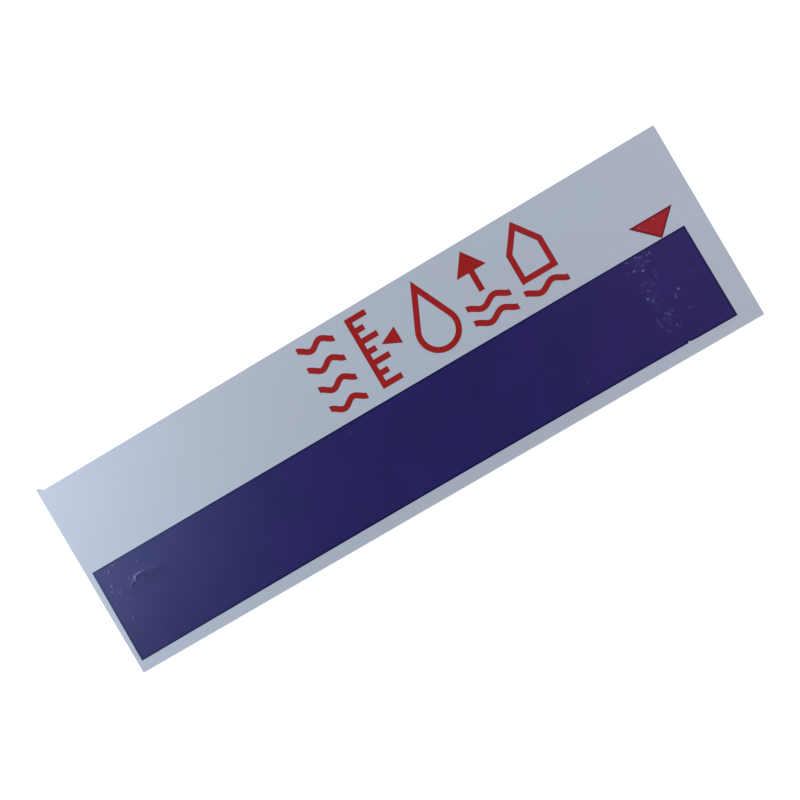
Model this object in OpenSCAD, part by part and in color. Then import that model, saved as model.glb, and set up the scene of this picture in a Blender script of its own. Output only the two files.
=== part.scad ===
// Flood level marker sign: a flat sheet plate faced with white film, with a dark blue
// band, a red pointer and a row of red pictograms, all cut from coloured film.
// It lies on its back. X runs along the sign the way it is read, Y up the sign, and
// Z out of its face. The origin is the middle of the plate's back.

/* [Plate] */
// Length of the sheet plate
plate_length = 1000; // [960:5:1300]
// Height of the sheet plate, up the sign
plate_height = 297; // [292:1:380]
// Thickness of the sheet plate
plate_thickness = 2; // [1:0.5:4]
// Radius of the plate's corners
corner_radius = 1; // [0.5:0.5:4]
// Width of the broken edge round the plate's back
edge_break = 0.3; // [0.1:0.1:0.4]

/* [White face film] */
// Thickness of the white face film with its adhesive
face_film = 0.3; // [0.1:0.05:0.6]
// Rise of the untrimmed point past the plate's top edge
point_rise = 6; // [3:0.5:12]
// Length of the untrimmed point along the plate's top edge
point_length = 13; // [8:0.5:25]
// Lean of the untrimmed point's outer edge
point_lean = 0.8; // [0.2:0.1:2]
// Width of the torn end of the untrimmed point
point_tear = 2.4; // [1.5:0.1:4]
// Depth of the tear across that end
tear_depth = 0.8; // [0.3:0.1:1.2]

/* [Cut films] */
// Thickness of the coloured films laid over the white one
cut_film = 0.15; // [0.08:0.01:0.3]

/* [Blue band] */
// Height of the band at its left end
band_height = 144; // [120:0.2:147]
// Loss of height towards the band's right end
band_taper = 2.4; // [0:0.1:5]
// Gap under the band's left end
band_foot_gap = 15.8; // [10:0.2:18]
// Rise of the band's lower edge towards its right end
band_foot_rise = 1.4; // [0:0.1:3]
// Bow of the band's lower edge, upwards at its middle
band_foot_bow = 1.8; // [0:0.1:3]
// Gap left of the band, at its foot
band_left_gap = 7; // [3:0.5:30]
// Gap right of the band, at its foot
band_right_gap = 31.2; // [15:0.2:60]
// Lean of the band's left end, inwards to its top
band_left_lean = 2.2; // [0:0.1:5]
// Lean of the band's right end, inwards to its top
band_right_lean = 1.1; // [0:0.1:5]
// Distance of the nick in the lower edge from the plate's right edge
nick_from_right = 105; // [80:1:200]
// Width of the nick
nick_width = 3.2; // [1:0.2:8]
// Depth of the nick
nick_depth = 2.6; // [1:0.2:6]

/* [Red pointer] */
// Width of the pointer
pointer_width = 67; // [40:1:90]
// Height of the pointer
pointer_height = 33; // [20:1:60]
// Distance of the pointer's tip from the plate's right edge
pointer_from_right = 65.8; // [60:0.1:110]
// Gap between the pointer's tip and the band
pointer_gap = 0.3; // [0.2:0.1:6]

/* [Row of marks] */
// Height of the marks
mark_height = 110; // [90:1:112]
// Width of the full marks
mark_width = 65; // [58:0.5:70]
// Distance from one mark's middle to the next
mark_pitch = 79.3; // [76:0.1:90]
// Distance of the row's middle right of the plate's middle
row_offset = 109.5; // [60:0.5:112]
// Gap between the band and the feet of the marks
row_gap = 14.7; // [5:0.1:16]
// Width of the strokes
stroke = 8.5; // [6:0.5:9.5]
// Clear gap between a mark's figure and the water under it
figure_gap = 8; // [4:0.5:14]

/* [Water lines] */
// Waves in one water line
wave_count = 1.5; // [0.5:1:1.5]
// Swing of a water line to each side of its middle
wave_swing = 4.5; // [2:0.5:5]
// Water lines in the water mark
water_lines = 4; // [3:1:4]
// Width of the water mark
water_width = 55.5; // [50:0.5:70]
// Clear gap between the two water lines under the arrow
line_gap = 5; // [3:0.5:8]

/* [Gauge, drop, arrow and house] */
// Width of the gauge with its level arrow
gauge_width = 56; // [52:1:68]
// Graduations on the gauge, long and short by turns
gauge_steps = 7; // [6:1:8]
// Reach of the long graduations past the gauge's rail
gauge_long = 24; // [18:1:28]
// Reach of the short graduations past the gauge's rail
gauge_short = 12; // [6:1:14]
// Graduation that the level arrow points at, counted up from the foot one
gauge_level = 3; // [1:2:5]
// Length of the level arrow
level_length = 27; // [18:1:28]
// Height of the level arrow
level_height = 26; // [16:1:30]
// Width of the drop
drop_width = 65; // [50:0.5:70]
// Width of the arrow's head
arrow_width = 46; // [30:1:70]
// Height of the arrow's head
arrow_head = 32; // [20:1:40]
// Width of the house
house_width = 56; // [40:1:70]
// Height of the house's walls
house_walls = 46; // [30:1:50]

/* [Hidden] */
$fn = 64;
// Steps along each water line
wave_steps = 36;
// Steps along the band's bowed lower edge
foot_steps = 16;
// How far a cutting shape runs past what it cuts
clear = 1;

// The plate's edges
left = -plate_length / 2;
right = plate_length / 2;
bottom = -plate_height / 2;
top = plate_height / 2;

// The heights at which the films lie
face_z = plate_thickness;
cut_z = face_z + face_film;

// The band's corners, in turn from its lower left
band = [
    [left + band_left_gap, bottom + band_foot_gap],
    [right - band_right_gap, bottom + band_foot_gap + band_foot_rise],
    [right - band_right_gap - band_right_lean,
        bottom + band_foot_gap + band_foot_rise + band_height - band_taper],
    [left + band_left_gap + band_left_lean, bottom + band_foot_gap + band_height]
];

// Height of the straight line from a to b above x
function height_at(a, b, x) = a[1] + (b[1] - a[1]) * (x - a[0]) / (b[0] - a[0]);

// Height of the band's lower edge above x: a straight line with a shallow bow
function foot_at(x) =
    let (t = (x - band[0][0]) / (band[1][0] - band[0][0]))
    height_at(band[0], band[1], x) + 4 * band_foot_bow * t * (1 - t);

// The band's lower edge, from its left end to its right
band_foot = [
    for (i = [0 : foot_steps])
        let (x = band[0][0] + (band[1][0] - band[0][0]) * i / foot_steps)
        [x, foot_at(x)]
];

pointer_x = right - pointer_from_right;
nick_x = right - nick_from_right;
row_y = band[3][1] + row_gap;

// The height of one water line from trough to crest
line_height = 2 * wave_swing + stroke;

// One edge of a water line: it starts on a crest and ends on the last turn, so that
// its ends are square. side is 1 for the upper edge and -1 for the lower one.
function wave_edge(width, side) = [
    for (i = [0 : wave_steps])
        let (
            turn = 360 * wave_count * i / wave_steps,
            slope = -wave_swing * sin(turn) * 2 * PI * wave_count / width,
            normal = [-slope, 1] / norm([-slope, 1])
        )
        [width * (i / wave_steps - 0.5), wave_swing * cos(turn)] + side * stroke / 2 * normal
];

// The list a from its last item to its first
function turned(a) = [for (i = [len(a) - 1 : -1 : 0]) a[i]];

// The plate's outline, with its corners rounded
module plate_outline() {
    square([plate_length - 2 * corner_radius, plate_height], center = true);
    square([plate_length, plate_height - 2 * corner_radius], center = true);
    for (x = [-1, 1], y = [-1, 1])
        translate([x * (plate_length / 2 - corner_radius), y * (plate_height / 2 - corner_radius)])
            circle(r = corner_radius);
}

// A wedge along one edge of the plate's back, which breaks that edge
module edge_wedge(length, reach) {
    rotate([90, 0, 90])
        translate([0, 0, -length / 2])
            linear_extrude(length)
                polygon([[reach - edge_break, 0], [reach - edge_break, -clear],
                    [reach + clear, -clear], [reach + clear, edge_break + clear]]);
}

// A piece of coloured film laid on the white face
module cut_piece() {
    translate([0, 0, cut_z])
        linear_extrude(cut_film)
            children();
}

// A red mark in place number i of the row, drawn from the middle of its foot
module red_mark(i) {
    color("#91242a")
        cut_piece()
            translate([row_offset + (i - 2) * mark_pitch, row_y])
                children();
}

// A water line with its lowest point at height y
module water_line(width, y) {
    translate([0, y + line_height / 2])
        polygon(concat(wave_edge(width, 1), turned(wave_edge(width, -1))));
}

module base_plate() {
    color("#b4b8bc")
        difference() {
            linear_extrude(plate_thickness)
                plate_outline();
            for (side = [0, 180])
                rotate(side) {
                    edge_wedge(plate_length + 2 * clear, plate_height / 2);
                    rotate(90)
                        edge_wedge(plate_height + 2 * clear, plate_length / 2);
                }
        }
}

// The point at the top left corner is the one place where the film wasn't trimmed
module white_face_film() {
    color("#c0c8d6")
        translate([0, 0, face_z])
            linear_extrude(face_film)
                union() {
                    plate_outline();
                    polygon([
                        [left, top - 2 * corner_radius],
                        [left + point_length, top - 2 * corner_radius],
                        [left + point_length, top],
                        [left + point_lean + point_tear, top + point_rise - tear_depth],
                        [left + point_lean + point_tear * 2 / 3, top + point_rise - tear_depth / 2],
                        [left + point_lean + point_tear / 3, top + point_rise],
                        [left + point_lean, top + point_rise - tear_depth],
                        [left, top]
                    ]);
                }
}

module blue_band_film() {
    color("#2b2560")
        cut_piece()
            difference() {
                polygon(concat(band_foot, [band[2], band[3]]));
                translate([nick_x, foot_at(nick_x)])
                    polygon([[-nick_width / 2, -clear], [nick_width / 2, -clear],
                        [nick_width / 2, nick_depth / 4], [nick_width / 6, nick_depth],
                        [-nick_width / 3, nick_depth * 2 / 3]]);
            }
}

module red_pointer_film() {
    tip_y = height_at(band[3], band[2], pointer_x) + pointer_gap;
    color("#91242a")
        cut_piece()
            translate([pointer_x, tip_y])
                polygon([[0, 0], [pointer_width / 2, pointer_height],
                    [-pointer_width / 2, pointer_height]]);
}

// Water: water lines spread over the mark's height
module waves_mark() {
    spacing = (mark_height - line_height) / (water_lines - 1);
    red_mark(0)
        for (i = [0 : water_lines - 1])
            water_line(water_width, i * spacing);
}

// A level gauge: a rail with long and short graduations and an arrow at one of them
module gauge_mark() {
    spacing = (mark_height - stroke) / (gauge_steps - 1);
    red_mark(1) {
        translate([-gauge_width / 2, 0])
            square([stroke, mark_height]);
        for (i = [0 : gauge_steps - 1])
            translate([-gauge_width / 2, i * spacing])
                square([stroke + (i % 2 == 0 ? gauge_long : gauge_short), stroke]);
        translate([gauge_width / 2 - level_length, gauge_level * spacing + stroke / 2])
            polygon([[0, 0], [level_length, -level_height / 2], [level_length, level_height / 2]]);
    }
}

// The outline of a drop: a circle with the two lines that touch it from the drop's tip
module drop_outline(r, tip) {
    tilt = asin(r / tip);
    circle(r);
    polygon([[0, tip], r * [-cos(tilt), sin(tilt)], r * [cos(tilt), sin(tilt)]]);
}

// A drop, with a wall as wide as the other strokes
module drop_mark() {
    r = drop_width / 2;
    tip = mark_height - r;
    red_mark(2)
        translate([0, r])
            difference() {
                drop_outline(r, tip);
                drop_outline(r - stroke, tip * (r - stroke) / r);
            }
}

// An arrow that rises out of two water lines
module rising_mark() {
    foot = 2 * line_height + line_gap + figure_gap;
    red_mark(3) {
        water_line(mark_width, 0);
        water_line(mark_width, line_height + line_gap);
        translate([-stroke / 2, foot])
            square([stroke, mark_height - arrow_head - foot + stroke / 2]);
        translate([0, mark_height - arrow_head])
            polygon([[-arrow_width / 2, 0], [arrow_width / 2, 0], [0, arrow_head]]);
    }
}

// A house front: walls under a roof with its ridge in the middle
module house_outline(width, walls, roof) {
    polygon([[-width / 2, 0], [width / 2, 0], [width / 2, walls], [0, walls + roof],
        [-width / 2, walls]]);
}

// A house over one water line, with walls and roof as wide as the other strokes
module house_mark() {
    foot = line_height + figure_gap;
    roof = mark_height - foot - house_walls;
    pitch = atan2(roof, house_width / 2);
    inner_width = house_width - 2 * stroke;
    inner_roof = inner_width / 2 * tan(pitch);
    inner_top = house_walls + roof - stroke / cos(pitch);
    red_mark(4) {
        water_line(mark_width, 0);
        translate([0, foot])
            difference() {
                house_outline(house_width, house_walls, roof);
                translate([0, stroke])
                    house_outline(inner_width, inner_top - inner_roof - stroke, inner_roof);
            }
    }
}

base_plate();
white_face_film();
blue_band_film();
red_pointer_film();
waves_mark();
gauge_mark();
drop_mark();
rising_mark();
house_mark();
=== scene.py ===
"""The dressed model of a flood level marker sign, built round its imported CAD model.

The sign lies face up on the floor. X runs along it the way it is read, Y runs up it
and Z out of its face, in metres. Places on its face are in millimetres from its lower
left corner.
"""

import logging
import math
import random
from collections.abc import Callable, Iterator
from contextlib import contextmanager
from dataclasses import dataclass
from enum import Enum
from typing import Any

import bmesh
import bpy
import numpy as np
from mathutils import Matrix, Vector
from mathutils.kdtree import KDTree


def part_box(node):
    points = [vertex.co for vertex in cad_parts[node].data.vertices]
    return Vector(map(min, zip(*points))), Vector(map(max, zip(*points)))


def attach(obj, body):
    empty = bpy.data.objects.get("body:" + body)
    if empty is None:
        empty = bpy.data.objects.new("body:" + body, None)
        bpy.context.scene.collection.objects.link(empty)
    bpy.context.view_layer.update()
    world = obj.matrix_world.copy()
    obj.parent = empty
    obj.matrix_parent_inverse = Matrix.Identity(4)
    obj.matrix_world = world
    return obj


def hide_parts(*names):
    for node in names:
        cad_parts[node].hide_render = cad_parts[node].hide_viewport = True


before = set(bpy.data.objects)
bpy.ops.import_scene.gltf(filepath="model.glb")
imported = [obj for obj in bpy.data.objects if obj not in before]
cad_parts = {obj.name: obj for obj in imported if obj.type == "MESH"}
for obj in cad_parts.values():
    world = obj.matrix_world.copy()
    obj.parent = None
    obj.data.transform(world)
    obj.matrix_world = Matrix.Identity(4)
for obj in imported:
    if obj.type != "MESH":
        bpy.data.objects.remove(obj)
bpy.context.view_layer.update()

LOG = logging.getLogger("sign")
BODY = "root"
MM = 0.001

# Places of a Mix node's colour inputs and output among its sockets
MIX_A = 6
MIX_B = 7
MIX_OUT = 2

# Places closer than this are the same, and a face whose normal rises less than this is a wall
TOUCH = 0.01 * MM
UPRIGHT = 0.5

# A ridge's points are this far apart, in millimetres
RIDGE_STEP = 0.5

# A tail has points at these shares of its length. It varies in length and turn about the
# squeegee's drag, fades by this share towards its end, and lifts the film where it is stronger
# than this
TAIL_STEPS = (0.0, 0.3, 0.6, 0.9)
TAIL_LENGTHS = (0.4, 1.1)
TAIL_SWING = 0.35
TAIL_FADE = 0.8
TAIL_LIFTS_ABOVE = 0.5

Place = tuple[float, float]
Point = tuple[float, float, float]
Colour = tuple[float, float, float, float]
Inputs = dict[int | str, Any]
Piece = bpy.types.Object
Material = bpy.types.Material
Tree = bpy.types.NodeTree
Node = bpy.types.Node
Socket = bpy.types.NodeSocket


class Part(Enum):
    """What an edit mode selection is made of."""

    CORNER = "VERT"
    EDGE = "EDGE"
    FACE = "FACE"


class FilmColour(Enum):
    """The two coloured films that are cut for the sign."""

    BLUE = "blue"
    RED = "red"


def linear(colour: str) -> Colour:
    """Turns an sRGB hex colour into the linear one that a socket takes.

    Args:
        colour: Six hex digits after a hash.

    Returns:
        The linear colour, with full alpha.
    """
    parts = [int(colour[i : i + 2], 16) / 255 for i in (1, 3, 5)]
    red, green, blue = (c / 12.92 if c <= 0.04045 else ((c + 0.055) / 1.055) ** 2.4 for c in parts)
    return (red, green, blue, 1.0)


def add_node(tree: Tree, kind: str, inputs: Inputs | None = None, **settings: Any) -> Node:
    """Adds one shader node with its settings, its values and the links into it.

    Args:
        tree: The node tree that gets the node.
        kind: The node's type, without the word ShaderNode.
        inputs: For each input, by name or number, its value or what feeds it. A node
            feeds it through its first output.
        **settings: The node's own settings.

    Returns:
        The new node.
    """
    node = tree.nodes.new("ShaderNode" + kind)
    for name, value in settings.items():
        setattr(node, name, value)
    for key, value in (inputs or {}).items():
        source = value.outputs[0] if isinstance(value, Node) else value
        if isinstance(source, Socket):
            tree.links.new(source, node.inputs[key])
        else:
            node.inputs[key].default_value = source
    return node


def new_object(name: str, data: Any) -> Piece:
    """Makes an object and puts it in the scene.

    Args:
        name: Its name.
        data: Its mesh, lamp or camera.

    Returns:
        The new object.
    """
    thing = bpy.data.objects.new(name, data)
    bpy.context.scene.collection.objects.link(thing)
    return thing


def dress(piece: Piece, material: Material, node: str = "") -> None:
    """Gives a piece its one material, and puts it in a CAD node's place.

    Args:
        piece: The piece to dress.
        material: The finish that it gets.
        node: The CAD node that it replaces, unless it is the node itself.
    """
    piece.data.materials.clear()
    piece.data.materials.append(material)
    if node:
        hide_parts(node)
        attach(piece, BODY)


def deselect_all() -> None:
    """Deselects every object, as an operator acts on all that is selected."""
    bpy.ops.object.select_all(action="DESELECT")


def make_active(piece: Piece) -> None:
    """Selects one piece alone and makes it the active one."""
    deselect_all()
    piece.select_set(True)
    bpy.context.view_layer.objects.active = piece


@contextmanager
def editing(piece: Piece) -> Iterator[None]:
    """Opens one piece alone in edit mode with nothing selected, and closes it after.

    Args:
        piece: The piece to edit.

    Yields:
        Nothing: the operators inside act on the piece.
    """
    make_active(piece)
    bpy.ops.object.mode_set(mode="EDIT")
    bpy.ops.mesh.select_all(action="DESELECT")
    yield
    bpy.ops.object.mode_set(mode="OBJECT")


def pick(piece: Piece, part: Part, test: Callable[[Any], bool]) -> int:
    """Selects only the corners, edges or faces that pass a test, in edit mode.

    Args:
        piece: The piece in edit mode.
        part: What the test is made on.
        test: Says whether one corner, edge or face is wanted.

    Returns:
        How many were selected.
    """
    bpy.ops.mesh.select_mode(type=part.value)
    bpy.ops.mesh.select_all(action="DESELECT")
    shape = bmesh.from_edit_mesh(piece.data)
    parts = {Part.CORNER: shape.verts, Part.EDGE: shape.edges, Part.FACE: shape.faces}[part]
    wanted = [one for one in parts if test(one)]
    for one in wanted:
        one.select_set(True)
    bmesh.update_edit_mesh(piece.data)
    return len(wanted)


def is_near(place: Vector, x: float, y: float, within: float = 0.02 * MM) -> bool:
    """Says whether a corner or a middle is at a place on the sign, seen from above."""
    return abs(place.x - x) < within and abs(place.y - y) < within


def holds(face: Any, x: float, y: float) -> bool:
    """Says whether a face's box holds a place on the sign, seen from above."""
    xs = [corner.co.x for corner in face.verts]
    ys = [corner.co.y for corner in face.verts]
    return min(xs) < x < max(xs) and min(ys) < y < max(ys)


def shade(piece: Piece, degrees: float = 30.0) -> None:
    """Shades a piece smooth up to an angle in degrees, so that its cut edges stay crisp."""
    make_active(piece)
    bpy.ops.object.shade_smooth_by_angle(angle=math.radians(degrees))


def corner_places(piece: Piece) -> np.ndarray:
    """Reads the places of all corners of a piece.

    Args:
        piece: The piece to read, in object mode.

    Returns:
        One row of x, y and z for each corner, in metres.
    """
    places = np.empty(len(piece.data.vertices) * 3, np.float32)
    piece.data.vertices.foreach_get("co", places)
    return places.reshape(-1, 3).astype(float)


def depth_from_edge(piece: Piece) -> np.ndarray:
    """Measures how far in from a film's cut edge each of its corners is, seen from above.

    Args:
        piece: The film, with upright walls round its outline.

    Returns:
        One distance for each corner, in metres.
    """
    places = corner_places(piece)[:, :2]
    walls = [face for face in piece.data.polygons if abs(face.normal.z) < UPRIGHT]
    keys = [key for wall in walls for key in wall.edge_keys]
    nearest = np.full(len(places), 1.0)
    for first, last in dict.fromkeys(keys):
        start, way = places[first], places[last] - places[first]
        length = float(way @ way)
        if length < TOUCH**2:
            continue
        share = np.clip((places - start) @ way / length, 0, 1)
        nearest = np.minimum(nearest, np.linalg.norm(places - start - share[:, None] * way, axis=1))
    return nearest


def store(piece: Piece, name: str, values: np.ndarray) -> None:
    """Stores one number at each corner of a piece, under the name that its finish reads."""
    layer = piece.data.attributes.new(name, "FLOAT", "POINT")
    layer.data.foreach_set("value", values.astype(np.float32))


@dataclass(frozen=True)
class PressedRim:
    """The rim of a cut film that is pressed down hard: an even strip, then a soft fade."""

    strip: float = 2.0 * MM
    fade: float = 1.0 * MM

    def cut(self, piece: Piece) -> None:
        """Insets a film's upper face for the strip, if it has one, and for the fade.

        Args:
            piece: The film, in edit mode.
        """
        pick(piece, Part.FACE, lambda face: face.normal.z > UPRIGHT)
        for width in (self.strip, self.fade):
            if width > 0:
                bpy.ops.mesh.inset(thickness=width, depth=0.0, use_even_offset=True)

    def shares(self, piece: Piece) -> np.ndarray:
        """Gives each corner's share of the rim, from 1 at the edge to 0 past the fade."""
        return np.clip(1 - (depth_from_edge(piece) - self.strip) / self.fade, 0, 1)


@dataclass(frozen=True)
class SignPlace:
    """Where the sign's lower left corner is, to turn places on its face into metres."""

    left: float
    bottom: float

    def metres(self, place: Place) -> Place:
        """Turns millimetres from the lower left corner into metres of the frame."""
        return (self.left + place[0] * MM, self.bottom + place[1] * MM)


@dataclass(frozen=True)
class Finish:
    """What all finishes share: a name, and a skin fed by what each one works out."""

    name: str

    def surface(self, tree: Tree, place: Socket) -> Inputs:
        """Gives what the skin is fed, from a place on the piece. Each finish has its own."""
        raise NotImplementedError

    def build(self) -> Material:
        """Builds the material.

        Returns:
            The finish, named for the real material.
        """
        material = bpy.data.materials.new(self.name)
        material.use_nodes = True
        tree = material.node_tree
        tree.nodes.clear()
        place = add_node(tree, "TexCoord").outputs["Object"]
        skin = add_node(tree, "BsdfPrincipled", self.surface(tree, place))
        add_node(tree, "OutputMaterial", {0: skin})
        return material


@dataclass(frozen=True)
class MillAluminium(Finish):
    """Aluminium sheet with its mill finish, rolled along the sign.

    It reads as a dull silver grey, streaked along its length by the mill's rolls, a little
    cloudy, with light scuffs from handling and a rougher, brighter edge where it was
    sheared.
    """

    name: str = "mill_finish_aluminium_sheet"
    light: str = "#c6c8cb"
    dark: str = "#b0b3b7"
    sheared: str = "#cdcfd1"
    roughness: float = 0.36
    scuffed_roughness: float = 0.16
    # Roll lines are a few hundredths of a millimetre apart, and are drawn at 5 mm to show
    line_spacing: float = 5.0 * MM
    line_length: float = 260 * MM
    cloud_size: float = 70 * MM
    scuff_spacing: float = 26 * MM
    scuff_patch: float = 90 * MM
    # A scuff's width as a share of a cell, and how strong a patch is where scuffs show
    scuff_width: float = 0.012
    scuff_from: float = 0.56
    # A sheared edge has upright marks, drawn at 0.5 mm to show
    shear_spacing: float = 0.5 * MM

    def surface(self, tree: Tree, place: Socket) -> Inputs:
        """Draws the roll lines, the clouds, the scuffs and the sheared edge.

        Args:
            tree: The material's node tree.
            place: The place on the sheet.

        Returns:
            What the skin is fed.
        """
        stretch = (1 / self.line_length, 1 / self.line_spacing, 1 / self.line_length)
        along = add_node(tree, "Mapping", {"Vector": place, "Scale": stretch})
        lines = add_node(tree, "TexNoise", {"Vector": along, "Scale": 1.0, "Detail": 1.0})
        cloudy = {"Vector": place, "Scale": 1 / self.cloud_size, "Detail": 3.0, "Roughness": 0.6}
        clouds = add_node(tree, "TexNoise", cloudy)
        tone = add_node(tree, "Math", {0: lines, 1: clouds})
        spread = add_node(tree, "MapRange", {"Value": tone, "From Min": 0.76, "From Max": 1.24})
        tones = {0: spread, MIX_A: linear(self.dark), MIX_B: linear(self.light)}
        sheet = add_node(tree, "Mix", tones, data_type="RGBA").outputs[MIX_OUT]
        normal = add_node(tree, "SeparateXYZ", {0: add_node(tree, "NewGeometry").outputs["Normal"]})
        level = add_node(tree, "Math", {0: normal.outputs["Z"]}, operation="ABSOLUTE")
        edge = add_node(tree, "Math", {0: level, 1: UPRIGHT}, operation="LESS_THAN")
        upright = (1 / self.shear_spacing, 1 / self.shear_spacing, 0.1 / self.shear_spacing)
        sheared = add_node(tree, "Mapping", {"Vector": place, "Scale": upright})
        marks = add_node(tree, "TexNoise", {"Vector": sheared, "Scale": 1.0, "Detail": 3.0})
        sides = {0: edge, MIX_A: sheet, MIX_B: linear(self.sheared)}
        colour = add_node(tree, "Mix", sides, data_type="RGBA").outputs[MIX_OUT]
        rough = add_node(
            tree,
            "MapRange",
            {
                "Value": lines,
                "From Min": 0.3,
                "From Max": 0.7,
                "To Min": self.roughness - 0.05,
                "To Max": self.roughness + 0.06,
            },
        )
        worn = add_node(
            tree,
            "Math",
            {0: self._scuffs(tree, place), 1: self.scuffed_roughness, 2: rough},
            operation="MULTIPLY_ADD",
        )
        relief = add_node(tree, "Mix", {0: edge, 2: lines, 3: marks}, data_type="FLOAT")
        return {
            "Base Color": colour,
            "Metallic": 1.0,
            "Roughness": worn,
            "Normal": add_node(
                tree, "Bump", {"Height": relief, "Strength": 0.25, "Distance": 0.03 * MM}
            ),
        }

    def _scuffs(self, tree: Tree, place: Socket) -> Node:
        """Draws the light scuffs, as thin cell borders that show only in patches.

        Args:
            tree: The material's node tree.
            place: The place on the sheet.

        Returns:
            A node that gives 1 on a scuff and 0 off it.
        """
        stretch = (0.35 / self.scuff_spacing, 1 / self.scuff_spacing, 1.0)
        turn = {"Vector": place, "Rotation": (0.0, 0.0, 0.5), "Scale": stretch}
        spots = {"Vector": add_node(tree, "Mapping", turn), "Scale": 1.0, "Randomness": 1.0}
        cells = add_node(tree, "TexVoronoi", spots, feature="DISTANCE_TO_EDGE")
        thin = add_node(tree, "Math", {0: cells, 1: self.scuff_width}, operation="LESS_THAN")
        patchy = {"Vector": place, "Scale": 1 / self.scuff_patch, "Detail": 2.0}
        patches = add_node(tree, "TexNoise", patchy)
        shown = add_node(tree, "Math", {0: patches, 1: self.scuff_from}, operation="GREATER_THAN")
        return add_node(tree, "Math", {0: thin, 1: shown}, operation="MULTIPLY")


@dataclass(frozen=True)
class WhiteSignFilm(Finish):
    """Cast vinyl sign film, white, laid over the whole front.

    It reads as a cool greyish white with a soft gloss, a shade uneven over a hand's width,
    with the fine orange peel that a rolled film has and a patch of faint mottling near
    the right end, where it was pressed down unevenly.
    """

    name: str = "white_cast_vinyl_film"
    cool: str = "#c1cad8"
    warm: str = "#c1c8d4"
    mottled: str = "#dfe5ee"
    roughness: float = 0.34
    shade_size: float = 160 * MM
    # Orange peel is about 0.5 mm across, and is drawn at 1.6 mm to show
    peel_size: float = 1.6 * MM
    # The middle of the mottled patch, in metres of the frame
    mottle_at: Point = (0.478, 0.034, 0.002)
    mottle_reach: float = 34 * MM
    mottle_size: float = 4.5 * MM

    def surface(self, tree: Tree, place: Socket) -> Inputs:
        """Draws the uneven shade, the orange peel and the patch of mottling.

        Args:
            tree: The material's node tree.
            place: The place on the film.

        Returns:
            What the skin is fed.
        """
        wide = {"Vector": place, "Scale": 1 / self.shade_size, "Detail": 5.0, "Roughness": 0.6}
        drift = add_node(tree, "TexNoise", wide)
        uneven = add_node(tree, "MapRange", {"Value": drift, "From Min": 0.35, "From Max": 0.65})
        tones = {0: uneven, MIX_A: linear(self.cool), MIX_B: linear(self.warm)}
        base = add_node(tree, "Mix", tones, data_type="RGBA").outputs[MIX_OUT]
        away = add_node(tree, "VectorMath", {0: place, 1: self.mottle_at}, operation="DISTANCE")
        fading = {"Value": away.outputs["Value"], "From Min": self.mottle_reach, "From Max": 0.0}
        patch = add_node(tree, "MapRange", fading, interpolation_type="SMOOTHSTEP")
        fine = {"Vector": place, "Scale": 1 / self.mottle_size, "Detail": 3.0}
        grain = add_node(tree, "TexNoise", fine)
        spots = add_node(tree, "MapRange", {"Value": grain, "From Min": 0.5, "From Max": 0.7})
        mottle = add_node(tree, "Math", {0: patch, 1: spots}, operation="MULTIPLY")
        faint = add_node(tree, "Math", {0: mottle, 1: 0.3}, operation="MULTIPLY")
        mottling = {0: faint, MIX_A: base, MIX_B: linear(self.mottled)}
        colour = add_node(tree, "Mix", mottling, data_type="RGBA").outputs[MIX_OUT]
        peel = add_node(tree, "TexNoise", {"Vector": place, "Scale": 1 / self.peel_size, "Detail": 2.0})
        height = add_node(tree, "Math", {0: mottle, 1: 1.5, 2: peel}, operation="MULTIPLY_ADD")
        return {
            "Base Color": colour,
            "Roughness": self.roughness,
            "IOR": 1.48,
            "Normal": add_node(tree, "Bump", {"Height": height, "Strength": 0.2, "Distance": 0.03 * MM}),
        }


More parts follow.
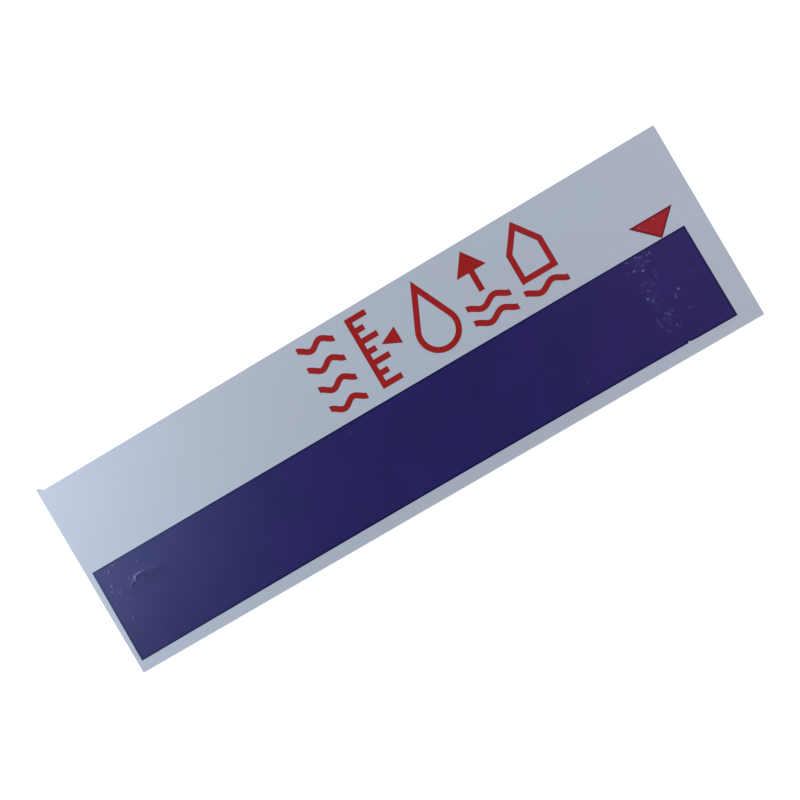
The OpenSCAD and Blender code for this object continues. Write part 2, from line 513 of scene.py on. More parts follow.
@dataclass(frozen=True)
class CutFilm(Finish):
    """Calendered vinyl film in one colour, cut with a knife and laid by hand.

    It reads as a deep colour that drifts a little, with a soft gloss, darker along its cut
    edges, where it is pressed down, with a painted shade in the hollows of a crease, and paler where air
    has lifted it, partly a painted highlight on its bubbles and ridges.
    """

    light: str
    dark: str
    # The rim colour is also the painted shade in hollows, and the colour after it is the paler film over
    # air, partly a painted highlight
    rim: str
    air_and_highlight: str
    roughness: float = 0.3
    drift_size: float = 85 * MM
    # Calender grain is about 0.3 mm across, and is drawn at 1 mm to show
    grain_size: float = 1.0 * MM

    @classmethod
    def of(cls, colour: FilmColour) -> "CutFilm":
        """Gives the finish of one of the two coloured films.

        Args:
            colour: Which film.

        Returns:
            That film's finish.
        """
        # Each film's third colour darkens its cut edges and paints the shade in hollows; its fourth is
        # paler over air and partly a painted highlight
        if colour is FilmColour.BLUE:
            return cls("dark_blue_calendered_vinyl_film", "#2a2067", "#221e60", "#00004a", "#aeace0")
        return cls("red_calendered_vinyl_film", "#ae1b1b", "#a61819", "#6e0012", "#e08a8c")

    def surface(self, tree: Tree, place: Socket) -> Inputs:
        """Draws the drifting colour, the dark rim with the painted shade of hollows, the pale air with
        its painted highlight, and the grain.

        Args:
            tree: The material's node tree.
            place: The place on the film.

        Returns:
            What the skin is fed.
        """
        wide = {"Vector": place, "Scale": 1 / self.drift_size, "Detail": 4.0, "Roughness": 0.6}
        drift = add_node(tree, "TexNoise", wide)
        uneven = add_node(tree, "MapRange", {"Value": drift, "From Min": 0.35, "From Max": 0.65})
        tones = {0: uneven, MIX_A: linear(self.light), MIX_B: linear(self.dark)}
        colour = add_node(tree, "Mix", tones, data_type="RGBA").outputs[MIX_OUT]
        # The rim's colour also lays the painted shade of hollows, and the air's colour is partly a
        # painted highlight on bubbles and ridges
        for mark, tint in (("rim", self.rim), ("air", self.air_and_highlight)):
            share = add_node(tree, "Attribute", attribute_name=mark).outputs["Fac"]
            marked = {0: share, MIX_A: colour, MIX_B: linear(tint)}
            colour = add_node(tree, "Mix", marked, data_type="RGBA").outputs[MIX_OUT]
        fine = {"Vector": place, "Scale": 1 / self.grain_size, "Detail": 2.0}
        grain = add_node(tree, "TexNoise", fine)
        rough = add_node(
            tree,
            "MapRange",
            {
                "Value": grain,
                "From Min": 0.3,
                "From Max": 0.7,
                "To Min": self.roughness - 0.03,
                "To Max": self.roughness + 0.03,
            },
        )
        return {
            "Base Color": colour,
            "Roughness": rough,
            "IOR": 1.5,
            "Normal": add_node(tree, "Bump", {"Height": grain, "Strength": 0.2, "Distance": 0.02 * MM}),
        }


@dataclass(frozen=True)
class StudioPaper(Finish):
    """Matt white paper over a light table, even, with a barely visible tooth."""

    name: str = "matt_white_paper"
    colour: str = "#a8a8a8"
    glow_colour: str = "#ffffff"
    glow: float = 0.85
    # Paper tooth is about 0.3 mm, and is drawn at 2 mm to show
    tooth_size: float = 2 * MM

    def surface(self, tree: Tree, place: Socket) -> Inputs:
        """Draws the paper's tooth and its glow.

        Args:
            tree: The material's node tree.
            place: The place on the paper.

        Returns:
            What the skin is fed.
        """
        fine = {"Vector": place, "Scale": 1 / self.tooth_size, "Detail": 2.0}
        tooth = add_node(tree, "TexNoise", fine)
        return {
            "Base Color": linear(self.colour),
            "Roughness": 0.9,
            "Specular IOR Level": 0.1,
            "Emission Color": linear(self.glow_colour),
            "Emission Strength": self.glow,
            "Normal": add_node(tree, "Bump", {"Height": tooth, "Strength": 0.1, "Distance": 0.05 * MM}),
        }


@dataclass(frozen=True)
class Tile:
    """A rectangle of a film that gets fine faces, so that the film can be lifted there.

    Places are in millimetres from the sign's lower left corner. Its faces are cut in
    rounds, as one round makes a hundred cuts at most.
    """

    low: Place
    high: Place
    rounds: tuple[int, ...]

    def middle(self) -> Place:
        """Gives the tile's middle, in millimetres."""
        return ((self.low[0] + self.high[0]) / 2, (self.low[1] + self.high[1]) / 2)


@dataclass(frozen=True)
class Air:
    """Air under a film: pockets of one size, or one long ridge.

    Places and sizes are in millimetres, and places are from the sign's lower left corner.
    pale says how much paler the film is over them, partly from the air and partly a painted highlight,
    and below zero it is a painted shade that makes it darker.
    drag is how far the squeegee drew each pocket out, which leaves it a fading tail, and
    is left out for a ridge.
    """

    places: tuple[Place, ...]
    reach: float
    lift: float
    pale: float
    drag: Place | None = None

    def points(self, seed: int) -> list[Point]:
        """Gives the points at which the film is pulled up, and how strongly.

        A ridge becomes a close row of points along its line. A pocket becomes a short
        row from its head to the end of its tail, turned and drawn out by a seeded amount.

        Args:
            seed: The seed for the tails.

        Returns:
            For each point its place in millimetres and its strength up to 1.
        """
        if self.drag is None:
            steps = []
            for (x0, y0), (x1, y1) in zip(self.places, self.places[1:]):
                count = max(1, round(math.hypot(x1 - x0, y1 - y0) / RIDGE_STEP))
                for i in range(count):
                    steps.append((x0 + (x1 - x0) * i / count, y0 + (y1 - y0) * i / count, 1.0))
            return [*steps, (*self.places[-1], 1.0)]
        draw = random.Random(seed)
        rows = []
        for x, y in self.places:
            length = math.hypot(*self.drag) * draw.uniform(*TAIL_LENGTHS)
            turn = math.atan2(self.drag[1], self.drag[0]) + draw.gauss(0, TAIL_SWING)
            for step in TAIL_STEPS:
                along = length * step
                fading = 1 - TAIL_FADE * step
                rows.append((x + along * math.cos(turn), y + along * math.sin(turn), fading))
        return rows


def scatter(seed: int, count: int, spine: tuple[Place, ...], spread: float) -> tuple[Place, ...]:
    """Scatters fine pockets along a line, thicker near it.

    Args:
        seed: The seed, so that each run gives the same places.
        count: How many places.
        spine: The line's points, in millimetres.
        spread: How far the places stray from the line, in millimetres.

    Returns:
        The places, in millimetres.
    """
    draw = random.Random(seed)
    places = []
    for _ in range(count):
        i = draw.randrange(len(spine) - 1)
        share = draw.random()
        (x0, y0), (x1, y1) = spine[i : i + 2]
        x = x0 + (x1 - x0) * share + draw.gauss(0, spread)
        places.append((x, y0 + (y1 - y0) * share + draw.gauss(0, spread)))
    return tuple(places)


@dataclass
class LaidFilm:
    """A piece of coloured film: a sheet with its cut outline, a darker rim and a skirt.

    It is modelled flat at the height of its upper side, cut to fine faces in its tiles,
    lifted over its air pockets and then given its thickness.
    """

    sign: SignPlace
    node: str
    slot: str
    finish: CutFilm
    rim: PressedRim = PressedRim()
    # Air, with its painted highlight and painted shade, shows in full this far inside the rim
    air_fade: float = 0.6 * MM
    tiles: tuple[Tile, ...] = ()
    pockets: tuple[Air, ...] = ()

    def outline(self) -> list[Place]:
        """Gives the film's corners in turn, in metres. Each film has its own."""
        raise NotImplementedError

    def build(self) -> Piece:
        """Models the film and dresses it.

        Returns:
            The finished piece.
        """
        low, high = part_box(self.node)
        piece = self._cut_out(high.z)
        with editing(piece):
            self.rim.cut(piece)
        self._add_tiles(piece)
        self._lift(piece)
        self._add_skirt(piece, high.z - low.z)
        self._mark(piece, high.z)
        shade(piece)
        dress(piece, self.finish.build(), self.node)
        return piece

    def _cut_out(self, z: float) -> Piece:
        """Makes a flat sheet and moves its four corners to the film's.

        Args:
            z: The height of the film's upper side.

        Returns:
            The new piece, one face.
        """
        corners = self.outline()
        deselect_all()
        bpy.ops.mesh.primitive_plane_add(size=1.0, location=(0, 0, z))
        piece = bpy.context.active_object
        piece.name = self.node.replace("_film", "_vinyl")
        bpy.ops.object.transform_apply(location=True, rotation=True, scale=True)
        start = [(-0.5, -0.5), (0.5, -0.5), (0.5, 0.5), (-0.5, 0.5)]
        with editing(piece):
            for (x0, y0), (x1, y1) in zip(start, corners):
                pick(piece, Part.CORNER, lambda corner: is_near(corner.co, x0, y0))
                bpy.ops.transform.translate(value=(x1 - x0, y1 - y0, 0))
        return piece

    def _add_tiles(self, piece: Piece) -> None:
        """Cuts each tile out of the sheet's face, and cuts it into fine faces.

        Args:
            piece: The sheet with its rim.
        """
        with editing(piece):
            for tile in self.tiles:
                x, y = self.sign.metres(tile.middle())
                for way in ((1, 0, 0), (0, 1, 0)):
                    for corner in (tile.low, tile.high):
                        pick(piece, Part.FACE, lambda face: holds(face, x, y))
                        bpy.ops.mesh.bisect(plane_co=(*self.sign.metres(corner), 0), plane_no=way)
            for rounds in dict.fromkeys(tile.rounds for tile in self.tiles):
                middles = [self.sign.metres(one.middle()) for one in self.tiles if one.rounds == rounds]
                found = pick(
                    piece,
                    Part.FACE,
                    lambda face: any(
                        is_near(face.calc_center_bounds(), *middle, 0.1 * MM) for middle in middles
                    ),
                )
                if found != len(middles):
                    raise ValueError(f"{self.node}: {found} faces for {len(middles)} tiles")
                for cuts in rounds:
                    bpy.ops.mesh.subdivide(number_cuts=cuts)

    def _lift(self, piece: Piece) -> None:
        """Lifts the film over its air pockets, each kind in one soft pull.

        Args:
            piece: The sheet with its tiles.
        """
        with editing(piece):
            for seed, kind in enumerate(self.pockets):
                if kind.lift <= 0:
                    continue
                shape = bmesh.from_edit_mesh(piece.data)
                shape.verts.ensure_lookup_table()
                tree = KDTree(len(shape.verts))
                for corner in shape.verts:
                    tree.insert((corner.co.x, corner.co.y, 0.0), corner.index)
                tree.balance()
                nearest = {
                    tree.find((*self.sign.metres((x, y)), 0.0))[1]
                    for x, y, strength in kind.points(seed)
                    if strength > TAIL_LIFTS_ABOVE
                }
                pick(piece, Part.CORNER, lambda corner: corner.index in nearest)
                bpy.ops.transform.translate(
                    value=(0, 0, kind.lift * MM),
                    use_proportional_edit=True,
                    proportional_edit_falloff="SMOOTH",
                    proportional_size=kind.reach * MM,
                )

    def _add_skirt(self, piece: Piece, thickness: float) -> None:
        """Gives the film its thickness: a skirt round its outline and a flat underside.

        Args:
            piece: The lifted sheet.
            thickness: The film's thickness.
        """
        with editing(piece):
            pick(piece, Part.EDGE, lambda edge: edge.is_boundary)
            bpy.ops.mesh.extrude_edges_move(TRANSFORM_OT_translate={"value": (0, 0, -thickness)})
            bpy.ops.mesh.edge_face_add()
            bpy.ops.mesh.select_all(action="SELECT")
            bpy.ops.mesh.normals_make_consistent(inside=False)

    def _mark(self, piece: Piece, z: float) -> None:
        """Stores where the film is paler over air, partly a painted highlight, and where its rim or a
        painted shade in a hollow makes it darker.

        Args:
            piece: The finished film.
            z: The height of its flat upper side.
        """
        places = corner_places(piece)
        air = np.zeros(len(places))
        top = np.flatnonzero(places[:, 2] > z - TOUCH)
        for seed, kind in enumerate(self.pockets):
            points = np.array([(*self.sign.metres((x, y)), pull) for x, y, pull in kind.points(seed)])
            apart = np.linalg.norm(places[top, None, :2] - points[None, :, :2], axis=2)
            share = np.clip(1 - apart / (kind.reach * MM), 0, 1)
            air[top] += kind.pale * (share * share * (3 - 2 * share) * points[:, 2]).max(axis=1)
        inside = depth_from_edge(piece) - self.rim.strip - self.rim.fade
        air *= np.clip(inside / self.air_fade, 0, 1)
        # Above zero the film is paler over air and partly a painted highlight; below zero it is a
        # painted shade, stored with the rim
        store(piece, "air", np.clip(air, 0, 1))
        store(piece, "rim", np.maximum(self.rim.shares(piece), np.clip(-air, 0, 1)))


def cad_corners(node: str) -> list[Place]:
    """Finds the four outermost corners of a roughly rectangular CAD node.

    Args:
        node: The CAD node's name.

    Returns:
        Its lower left, lower right, upper right and upper left corner, in metres.
    """
    places = corner_places(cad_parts[node])[:, :2]
    ways = ((-1, -1), (1, -1), (1, 1), (-1, 1))
    return [tuple(places[(places @ np.array(way)).argmax()]) for way in ways]


@dataclass
class BlueBand(LaidFilm):
    """The dark blue band, with a nick in its lower edge, trapped air and a crease."""

    node: str = "blue_band_film"
    slot: str = "blue_film"
    finish: CutFilm = CutFilm.of(FilmColour.BLUE)
    foot_bow: float = 1.8 * MM
    foot_steps: int = 16
    foot_strip: float = 12 * MM
    nick_at: float = 895.0
    nick_outline: tuple[Place, ...] = ((-1.6, 0.0), (-1.07, 1.73), (0.53, 2.6), (1.6, 0.65))
    tiles: tuple[Tile, ...] = (
        Tile((12.4, 66), (118, 155.6), (30, 5)),
        Tile((864, 37), (950, 97), (25, 4)),
        Tile((864, 97), (950, 155.6), (25, 4)),
        Tile((427, 142), (435, 150), (12,)),
        Tile((746, 36), (754, 44), (12,)),
    )
    pockets: tuple[Air, ...] = (
        # The crease near the left end: a broad low fold, and the sharp ridge along its crest with a
        # painted highlight
        Air(
            ((50, 116.5), (55, 120.5), (60, 124), (66, 125.6), (74, 124.4), (84, 121.4), (98, 119.4)),
            8, 0.11, 0,
        ),
        Air(((70, 126.2), (66.7, 126.5), (63.3, 125.8), (61.1, 124.6)), 2.9, 0.14, 0.2),
        Air(((60.8, 124.4), (59.2, 122.6), (58.6, 120.6), (58.6, 116.8)), 3.1, 0.12, 0.23),
        Air(((68, 126.4), (66.4, 126.8), (65, 126.4)), 1.9, 0.05, 0.12),
        Air(((59.8, 123.4), (59, 121.8), (58.7, 119.8)), 2.1, 0.05, 0.14),
        Air(((70.5, 126.2), (73.3, 126.1), (76.2, 126)), 2.4, 0.08, 0.11),
        # Its foot, with a painted highlight, then the painted shade in the hollow inside it and on the
        # film below the crease
        Air(((55.4, 120.6), (53, 118.6), (50.8, 116.2)), 2.7, 0.1, 0.17),
        Air(((63.6, 121.2), (66.8, 122), (75, 120.8)), 4.4, 0, -0.52),
        Air(((75, 118.6), (84, 117.4), (94, 116.8), (103, 116.4)), 5, 0, -0.36),
        Air(((54.8, 115.6),), 2.6, 0, -0.25),
        Air(((56, 109), (76, 110.5), (90, 109.5), (101, 108)), 15, 0, -0.34),
        # Bubbles at the left end, from bright to faint, paler over the air and partly a painted
        # highlight
        Air(((42, 154),), 2, 0.25, 0.34, (-2.8, -0.9)),
        Air(((31.1, 149.2), (27.9, 74.6), (24.6, 129.5)), 2.2, 0.22, 0.25, (2.4, 0.2)),
        Air(((21.4, 121.2),), 1.9, 0.2, 0.24, (-3.2, -3.4)),
        Air(((59, 145), (74.7, 142.4), (51.7, 126.9)), 2.2, 0.12, 0.14, (1, -0.4)),
        Air(
            ((25.5, 151.2), (15.9, 118.4), (15.2, 103), (54.8, 93), (62.7, 114.6), (68.6, 121.6)),
            2.4, 0.06, 0.08, (2.2, -0.6),
        ),
        Air(((28.6, 114.2), (31.5, 115.8), (34.8, 117.8)), 2.4, 0.05, 0.06),
        # Bubbles at the right end, from bright to faint, paler over the air and partly a painted
        # highlight
        Air(((888.8, 133.9),), 2.1, 0.25, 0.56, (3.6, -0.5)),
        Air(((875.6, 97.3),), 2.1, 0.25, 0.54, (4.4, -1.8)),
        Air(((889.7, 155.1), (878.7, 139)), 2.1, 0.25, 0.5, (1.4, -0.6)),
        Air(((918, 88.9),), 2.2, 0.22, 0.42, (2.2, -0.6)),
        Air(
            ((904.4, 149.8), (909.3, 151.1), (875.6, 154.4), (892.6, 47.8), (881, 91.7), (890.3, 64.9)),
            2.1, 0.16, 0.27, (1.8, -2),
        ),
        Air(
            ((893.9, 151.9), (901, 142.2), (901.5, 120.2), (881.8, 106.3), (887, 68.4), (896.2, 66.9)),
            2.2, 0.12, 0.2, (3, -1.4),
        ),
        Air(((910.8, 82.8), (910.3, 81), (909.8, 79.6)), 2.8, 0.12, 0.13),
        Air(
            ((868.6, 140.6), (901.8, 126.2), (879.1, 117.2), (880.7, 62.5), (885.6, 53.4), (879.5, 45),
             (894.4, 42.6), (891.2, 140.2), (881, 86.2), (903, 155), (892, 110)),
            2.3, 0.06, 0.1, (3, 0),
        ),
        Air(((917, 59.2), (920, 58.4), (922.8, 58.2)), 2.8, 0.08, 0.06),
        Air(((873, 66.8), (873.2, 60), (874, 53.6)), 3, 0.08, 0.08),
        Air(((944.8, 102.5), (944.8, 98)), 3, 0.03, 0.03),
        Air(((939.5, 76.9), (431, 146), (750, 40.6)), 2.2, 0.06, 0.1, (2, 0)),
        # The faint haze round the bubbles, paler over the air and partly a painted highlight
        Air(
            scatter(11, 70, ((896, 148), (890, 140), (884, 108), (880, 92), (888, 64), (884, 46)), 5.5),
            3, 0.03, 0.035, (2, -1),
        ),
        Air(scatter(12, 26, ((28, 143), (24, 118), (34, 96)), 6), 3, 0.02, 0.03, (2, -1)),
    )

    def outline(self) -> list[Place]:
        """Gives the band's corners in turn, in metres."""
        return cad_corners(self.node)

    def _foot(self) -> list[Place]:
        """Gives the corners between the ends of the band's lower edge.

        The edge is a straight line with a shallow bow, which a hand-held knife left, and
        with the nick cut into it.

        Returns:
            For each corner its x and how far it rises above the straight line, in metres.
        """
        (left, _), (right, _) = self.outline()[:2]
        nick_x, _ = self.sign.metres((self.nick_at, 0.0))
        steps = [(left + (right - left) * i / self.foot_steps, 0.0) for i in range(1, self.foot_steps)]
        steps += [(nick_x + across * MM, deep * MM) for across, deep in self.nick_outline]
        shares = [(x - left) / (right - left) for x, _ in steps]
        return [
            (x, 4 * self.foot_bow * share * (1 - share) + deep)
            for (x, deep), share in zip(steps, shares)
        ]

    def _cut_out(self, z: float) -> Piece:
        """Makes the flat band, bows its lower edge and cuts the nick into it.

        Args:
            z: The height of the band's upper side.

        Returns:
            The new piece, one face.
        """
        piece = super()._cut_out(z)
        strip = min(y for _, y in self.outline()) + self.foot_strip
        foot = self._foot()
        with editing(piece):
            bpy.ops.mesh.select_all(action="SELECT")
            bpy.ops.mesh.bisect(plane_co=(0, strip, 0), plane_no=(0, 1, 0))
            for x, _ in foot:
                pick(piece, Part.FACE, lambda face: face.calc_center_bounds().y < strip)
                bpy.ops.mesh.bisect(plane_co=(x, 0, 0), plane_no=(1, 0, 0))
            for x, rise in foot:
                pick(
                    piece,
                    Part.CORNER,
                    lambda corner: abs(corner.co.x - x) < 0.05 * MM and corner.co.y < strip - MM,
                )
                bpy.ops.transform.translate(value=(0, rise, 0))
            pick(piece, Part.FACE, lambda face: True)
            bpy.ops.mesh.dissolve_faces()
        return piece


@dataclass
class RedPointer(LaidFilm):
    """The red triangle whose tip points down at the band's top edge."""

    node: str = "red_pointer_film"
    slot: str = "red_film"
    finish: CutFilm = CutFilm.of(FilmColour.RED)
    rim: PressedRim = PressedRim(1.7 * MM, 1.1 * MM)
    cuts: int = 70
    pockets: tuple[Air, ...] = (
        # Bubbles under the pointer, paler over the air and partly a painted highlight
        Air(((936.2, 187.1), (913.6, 187.2)), 1.8, 0.12, 0.3, (1.2, 0)),
        Air(scatter(13, 12, ((914, 187), (930, 182), (946, 187)), 2.5), 1.6, 0.03, 0.08, (1, 0)),
    )

    def outline(self) -> list[Place]:
        """Gives the pointer's upper corners and its tip, the tip twice, in metres."""
        low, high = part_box(self.node)
        tip = ((low.x + high.x) / 2, low.y)
        return [tip, tip, (high.x, high.y), (low.x, high.y)]

    def _cut_out(self, z: float) -> Piece:
        """Makes the flat triangle, with its two corners at the tip made one.

        Args:
            z: The height of the pointer's upper side.

        Returns:
            The new piece, one face.
        """
        piece = super()._cut_out(z)
        with editing(piece):
            bpy.ops.mesh.select_all(action="SELECT")
            bpy.ops.mesh.remove_doubles(threshold=TOUCH)
        return piece

    def _add_tiles(self, piece: Piece) -> None:
        """Cuts the whole triangle inside the rim into fine faces.

        Args:
            piece: The sheet with its rim.
        """
        with editing(piece):
            pick(piece, Part.FACE, lambda face: len(face.verts) == 3)
            bpy.ops.mesh.subdivide(number_cuts=self.cuts)


@dataclass
class RedMarks:
    """The five red marks in the row over the middle of the sign."""

    nodes: tuple[str, ...] = ("waves_mark", "gauge_mark", "drop_mark", "rising_mark", "house_mark")
    slot: str = "red_film"
    # Corners this close are welded, and faces that turn less than this, in degrees, become one
    weld: float = 0.002 * MM
    flat_within: float = 0.2
    rim: PressedRim = PressedRim(0.0, 0.9 * MM)
    finish: CutFilm = CutFilm.of(FilmColour.RED)

    def build(self) -> list[Piece]:
        """Models and dresses the marks, each from its own CAD node."""
        material = self.finish.build()
        return [self._build_mark(node, material) for node in self.nodes]

    def _build_mark(self, node: str, material: Material) -> Piece:
        """Copies a mark, makes its triangles whole faces again and sets off its rim.

        Args:
            node: The mark's CAD node.
            material: The finish of all the marks.

        Returns:
            The finished piece.
        """
        piece = new_object(node.replace("_mark", "_cutout"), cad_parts[node].data.copy())
        with editing(piece):
            bpy.ops.mesh.select_all(action="SELECT")
            bpy.ops.mesh.remove_doubles(threshold=self.weld)
            bpy.ops.mesh.select_all(action="SELECT")
            bpy.ops.mesh.dissolve_limited(angle_limit=math.radians(self.flat_within))
            self.rim.cut(piece)
        store(piece, "rim", self.rim.shares(piece))
        shade(piece)
        dress(piece, material, node)
        return piece


@dataclass
class WhiteFace:
    """The white film over the whole front, trimmed flush but for one torn point."""

    node: str = "white_face_film"
    plate: str = "base_plate"
    slot: str = "white_film"
    corner_radius: float = 1.0 * MM
    corner_segments: int = 6
    point_length: float = 10.4 * MM
    point_rise: float = 5.2 * MM
    point_lean: float = -0.1 * MM
    point_tear: float = 3.4 * MM
    tear_depth: float = 0.7 * MM
    # The tear is deepest this share of the way along the end. Its teeth vary in height, and
    # sideways by a share of a column
    tear_peak: float = 0.8
    tooth_heights: tuple[float, float] = (0.6, 1.0)
    tooth_shifts: tuple[float, float] = (-0.6, 0.4)
    tear_seed: int = 5
    curl: float = 0.25 * MM
    fold: float = 4.0 * MM
    cuts: int = 9
    soft_edge: float = 0.04 * MM
    finish: WhiteSignFilm = WhiteSignFilm()

    def build(self) -> Piece:
        """Models the film and dresses it.

        Returns:
            The finished piece.
        """
        low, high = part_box(self.node)
        (left, bottom, _), (right, top, _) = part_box(self.plate)
        deselect_all()
        middle = ((left + right) / 2, (bottom + top) / 2, high.z)
        bpy.ops.mesh.primitive_plane_add(size=1.0, location=middle)
        piece = bpy.context.active_object
        piece.name = "white_face_vinyl"
        with editing(piece):
            bpy.ops.mesh.select_all(action="SELECT")
            bpy.ops.transform.resize(value=(right - left, top - bottom, 1.0))
        bpy.ops.object.transform_apply(location=True, rotation=True, scale=True)
        with editing(piece):
            pick(piece, Part.CORNER, lambda corner: corner.co.x > 0 or corner.co.y < 0)
            bpy.ops.mesh.bevel(
                offset=self.corner_radius, segments=self.corner_segments, affect="VERTICES"
            )
        self._add_point(piece, left, top)
        solid = piece.modifiers.new("thickness", "SOLIDIFY")
        solid.thickness = high.z - low.z
        solid.offset = -1.0
        edge = piece.modifiers.new("soft edge", "BEVEL")
        edge.width = self.soft_edge
        edge.segments = 2
        edge.limit_method = "ANGLE"
        make_active(piece)
        for name in (solid.name, edge.name):
            bpy.ops.object.modifier_apply(modifier=name)
        # The soft edge's facets stay flat, so that they don't tilt the shading of the whole face
        shade(piece, degrees=20.0)
        dress(piece, self.finish.build(), self.node)
        return piece

    def _add_point(self, piece: Piece, left: float, top: float) -> None:
        """Draws out the untrimmed point, tears its edge and curls it up a little.

        Args:
            piece: The flat film.
            left: The plate's left edge.
            top: The plate's top edge.
        """
        foot = left + self.point_length
        rise = self.point_rise
        with editing(piece):
            pick(piece, Part.FACE, lambda face: True)
            bpy.ops.mesh.bisect(plane_co=(0, top - self.fold, 0), plane_no=(0, 1, 0))
            pick(piece, Part.FACE, lambda face: face.calc_center_bounds().y > top - self.fold)
            bpy.ops.mesh.bisect(plane_co=(foot, 0, 0), plane_no=(1, 0, 0))
            pick(
                piece,
                Part.EDGE,
                lambda edge: all(c.co.y > top - TOUCH and c.co.x < foot + TOUCH for c in edge.verts),
            )
            bpy.ops.mesh.extrude_edges_move(TRANSFORM_OT_translate={"value": (0, rise, 0)})
            slope = self.point_lean + self.point_tear - self.point_length
            for x, across in ((foot, slope), (left, self.point_lean)):
                pick(piece, Part.CORNER, lambda corner: is_near(corner.co, x, top + rise))
                bpy.ops.transform.translate(value=(across, 0, 0))
            pick(piece, Part.FACE, lambda face: face.calc_center_bounds().y > top)
            bpy.ops.mesh.subdivide(number_cuts=self.cuts)
            self._tear(piece, left, top)
            rows = self.cuts + 1
            for row in range(1, rows + 1):
                height = top + rise * row / rows
                share = row / rows
                pick(
                    piece,
                    Part.CORNER,
                    lambda corner: abs(corner.co.y - height) < rise / rows / 2
                    or (row == rows and corner.co.y > height),
                )
                bpy.ops.transform.translate(value=(0, 0, self.curl * share * share))

    def _tear(self, piece: Piece, left: float, top: float) -> None:
        """Moves the corners of the point's end and slope unevenly, as a tear leaves them.

        Args:
            piece: The film, in edit mode.
            left: The plate's left edge.
            top: The plate's top edge.
        """
        draw = random.Random(self.tear_seed)
        columns = self.cuts + 1
        end = top + self.point_rise
        for column in range(1, columns):
            x = left + self.point_lean + self.point_tear * column / columns
            peak = 1 - abs(column / columns - self.tear_peak) / self.tear_peak
            if pick(piece, Part.CORNER, lambda corner: is_near(corner.co, x, end)):
                tooth = self.tear_depth * max(0.0, peak) * draw.uniform(*self.tooth_heights)
                bpy.ops.transform.translate(value=(0, tooth, 0))
        for row in range(1, columns):
            share = row / columns
            reach = self.point_length + (self.point_lean + self.point_tear - self.point_length) * share
            column_width = (reach - self.point_lean * share) / columns
            x, y = left + reach, top + self.point_rise * share
            if pick(piece, Part.CORNER, lambda corner: is_near(corner.co, x, y)):
                tooth = draw.uniform(*self.tooth_shifts) * column_width
                bpy.ops.transform.translate(value=(tooth, 0, 0))


@dataclass
class BasePlate:
    """The sheet aluminium plate that carries the films, as the CAD model has it."""

    node: str = "base_plate"
    slot: str = "sheet_aluminium"
    finish: MillAluminium = MillAluminium()

    def build(self) -> Piece:
        """Dresses the plate.

        Returns:
            The CAD node with its finish.
        """
        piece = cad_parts[self.node]
        dress(piece, self.finish.build())
        return piece


@dataclass(frozen=True)
class SoftBox:
    """A large soft lamp that faces a point on the sign."""

    name: str
    place: Point
    aim: Point
    size: tuple[float, float]
    power: float
    colour: str

    def build(self) -> None:
        """Hangs the lamp up and turns it to what it lights."""
        lamp = bpy.data.lights.new(self.name, "AREA")
        lamp.shape = "RECTANGLE"
        lamp.size, lamp.size_y = self.size
        lamp.energy = self.power
        lamp.color = linear(self.colour)[:3]
        holder = new_object(self.name, lamp)
        holder.location = self.place
        way = Vector(self.aim) - Vector(self.place)
        holder.rotation_euler = way.to_track_quat("-Z", "Y").to_euler()


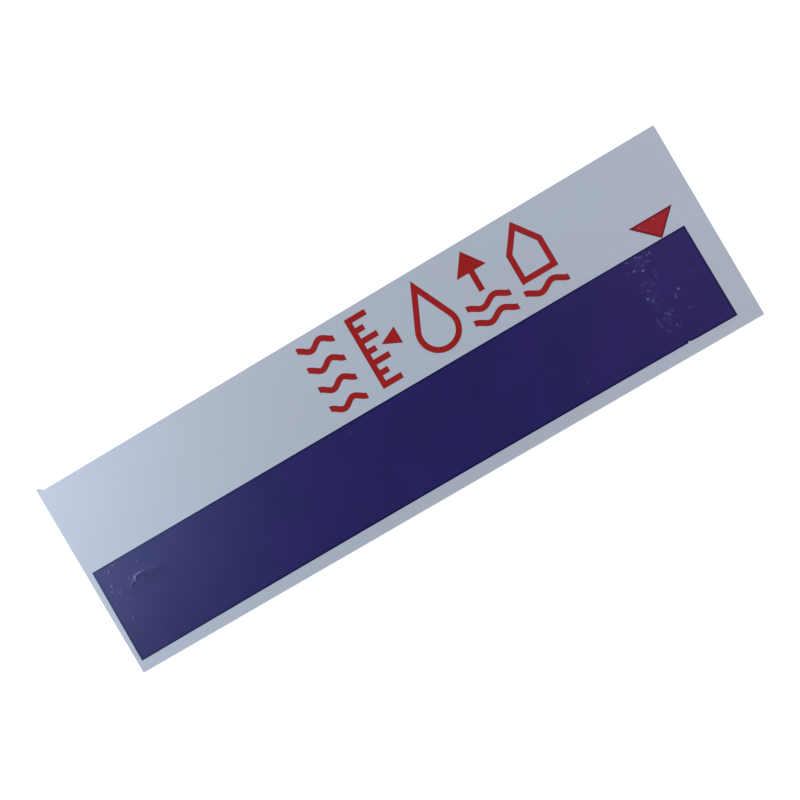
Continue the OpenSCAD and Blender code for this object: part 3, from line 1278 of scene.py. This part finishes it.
@dataclass
class Studio:
    """The floor, the lamps and the camera, none of which is part of the sign."""

    floor_size: float = 14.0
    sky: str = "#f1ffd7"
    sky_strength: float = 0.097
    wall: str = "#f4f4f3"
    lamps: tuple[SoftBox, ...] = (
        SoftBox("left_key", (-1.5, 0.1, 1), (-0.4, 0, 0), (0.8, 0.9), 7.95, "#ebf1ff"),
        SoftBox("window", (-1.25, 0.25, 1.7), (-0.4, 0, 0), (0.7, 0.9), 5.25, "#b2d0ff"),
        SoftBox("upper_left_key", (-1, 0.72, 0.62), (-0.5, 0.1, 0), (0.75, 0.75), 7.1, "#fff8fa"),
        SoftBox("upper_right_fill", (0.9, 1.3, 1.3), (0.2, 0, 0), (1, 0.8), 14, "#f8fff8"),
        SoftBox("right_fill", (1.3, 0, 0.5), (0.5, 0, 0), (0.6, 0.8), 3.4, "#e4e7ff"),
        SoftBox("right_glow", (1, 0.1, 2), (0.2, 0, 0), (1, 1), 1.48, "#e8abff"),
        SoftBox("lower_right_fill", (0.45, -0.7, 0.5), (0.25, -0.15, 0), (0.6, 0.4), 1.34, "#ffece2"),
    )
    camera_place: Point = (0.13759, 0.00718, 1.54061)
    camera_turn: Point = (-2.5155, 3.8488, -30.5542)
    lens: float = 50.0

    def build(self) -> None:
        """Lays the floor, hangs the lamps and sets up the camera."""
        deselect_all()
        bpy.ops.mesh.primitive_plane_add(size=self.floor_size)
        floor = bpy.context.active_object
        floor.name = "paper_floor"
        floor.data.materials.append(StudioPaper().build())
        for lamp in self.lamps:
            lamp.build()
        self._set_up_room()
        self._set_up_camera()
        bpy.context.scene.view_settings.view_transform = "Standard"

    def _set_up_room(self) -> None:
        """Lights the sign dimly from all round, and shows the camera a pale wall."""
        world = bpy.data.worlds.new("soft_room")
        world.use_nodes = True
        tree = world.node_tree
        tree.nodes.clear()
        light = add_node(tree, "Background", {0: linear(self.sky), 1: self.sky_strength})
        wall = add_node(tree, "Background", {0: linear(self.wall), 1: 1.0})
        seen = add_node(tree, "LightPath").outputs["Is Camera Ray"]
        both = add_node(tree, "MixShader", {0: seen, 1: light, 2: wall})
        add_node(tree, "OutputWorld", {0: both})
        bpy.context.scene.world = world

    def _set_up_camera(self) -> None:
        """Puts the camera over the sign, turned as the photograph was."""
        lens = bpy.data.cameras.new("camera")
        lens.lens = self.lens
        camera = new_object("camera", lens)
        camera.location = self.camera_place
        camera.rotation_euler = tuple(math.radians(turn) for turn in self.camera_turn)
        bpy.context.scene.camera = camera


def report(piece: Piece) -> None:
    """Logs a piece's name and how many faces it has."""
    LOG.info("%s: %d faces", piece.name, len(piece.data.polygons))


def main() -> None:
    """Builds the sign's pieces from the back to the front, then the studio."""
    logging.basicConfig(level=logging.INFO, format="%(name)s %(message)s")
    low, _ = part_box("base_plate")
    sign = SignPlace(low.x, low.y)
    report(BasePlate().build())
    report(WhiteFace().build())
    report(BlueBand(sign).build())
    report(RedPointer(sign).build())
    for mark in RedMarks().build():
        report(mark)
    Studio().build()


if __name__ == "__main__":
    main()
